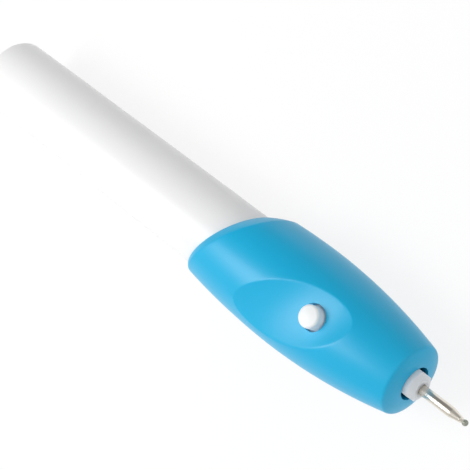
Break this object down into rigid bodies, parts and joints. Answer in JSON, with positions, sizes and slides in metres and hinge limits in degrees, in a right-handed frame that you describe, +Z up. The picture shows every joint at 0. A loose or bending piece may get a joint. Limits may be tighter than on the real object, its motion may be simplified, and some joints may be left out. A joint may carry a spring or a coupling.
{
  "type": "electric engraving pen",
  "caption": "Battery engraving pen: slide-off barrel over a cell sled, moulded grip with finger dish and push button, small motor turning a tool holder with a diamond bit.",
  "frame": {"origin": "centre of the barrel's flat rear face, on the pen's axis", "axes": "+X along the axis from the rear face to the tip, +Z up through the push button, +Y to the left of a user who looks forward along the pen"},
  "size_m": [0.1612, 0.0256, 0.0256],
  "materials": {
    "white_gloss": "gloss moulded",
    "blue_satin": "satin moulded",
    "white_matt": "matt moulded",
    "spring_steel": "drawn wire",
    "nickelled_strip": "nickel plated strip",
    "cell_jacket": "plain jacket",
    "motor_steel": "zinc plated",
    "black_moulding": "matt moulded",
    "brass": "stamped",
    "bronze": "sintered",
    "ferrite": "sintered",
    "shaft_steel": "ground",
    "copper_wire": "copper",
    "nylon": "turned nylon",
    "diamond_grit": "plated grit",
    "red_insulation": "extruded",
    "black_insulation": "extruded"
  },
  "bodies": {
    "pen": {"grip": "blue_satin", "chassis": "white_matt", "battery_sled": "white_matt", "rear_spring": "spring_steel", "ground_strip": "nickelled_strip", "front_contact": "nickelled_strip", "cell_rear": "cell_jacket", "cell_front": "cell_jacket", "motor_can": "motor_steel", "motor_end_bell": "black_moulding", "motor_terminals": "brass", "motor_front_bearing": "bronze", "motor_rear_bearing": "bronze", "motor_magnets": "ferrite", "motor_brushes": "brass", "switch_leaf": "brass", "switch_contact": "brass", "lead_positive": "red_insulation", "lead_negative": "black_insulation", "chassis_screw": "shaft_steel"},
    "barrel": {"barrel": "white_gloss"},
    "rotor": {"motor_shaft": "shaft_steel", "rotor_core": "motor_steel", "rotor_windings": "copper_wire", "commutator": "copper_wire", "commutator_hub": "black_moulding", "tool_holder": "nylon"},
    "bit": {"engraving_bit": "shaft_steel", "diamond_head": "diamond_grit"},
    "button": {"button": "white_gloss"}
  },
  "joints": [
    {"name": "barrel_pull", "type": "slide", "parent": "pen", "child": "barrel", "axis": [-1, 0, 0], "range_m": [0, 0.1]},
    {"name": "rotor_spin", "type": "hinge", "parent": "pen", "child": "rotor", "pos_m": [0.13, 0, 0], "axis": [1, 0, 0], "continuous": true},
    {"name": "bit_pull", "type": "slide", "parent": "rotor", "child": "bit", "axis": [1, 0, 0], "range_m": [0, 0.0125]},
    {"name": "button_press", "type": "slide", "parent": "pen", "child": "button", "axis": [0, 0, -1], "range_m": [0, 0.0007], "stiffness_N_per_m": 1500, "deforming": ["switch_leaf"]}
  ]
}
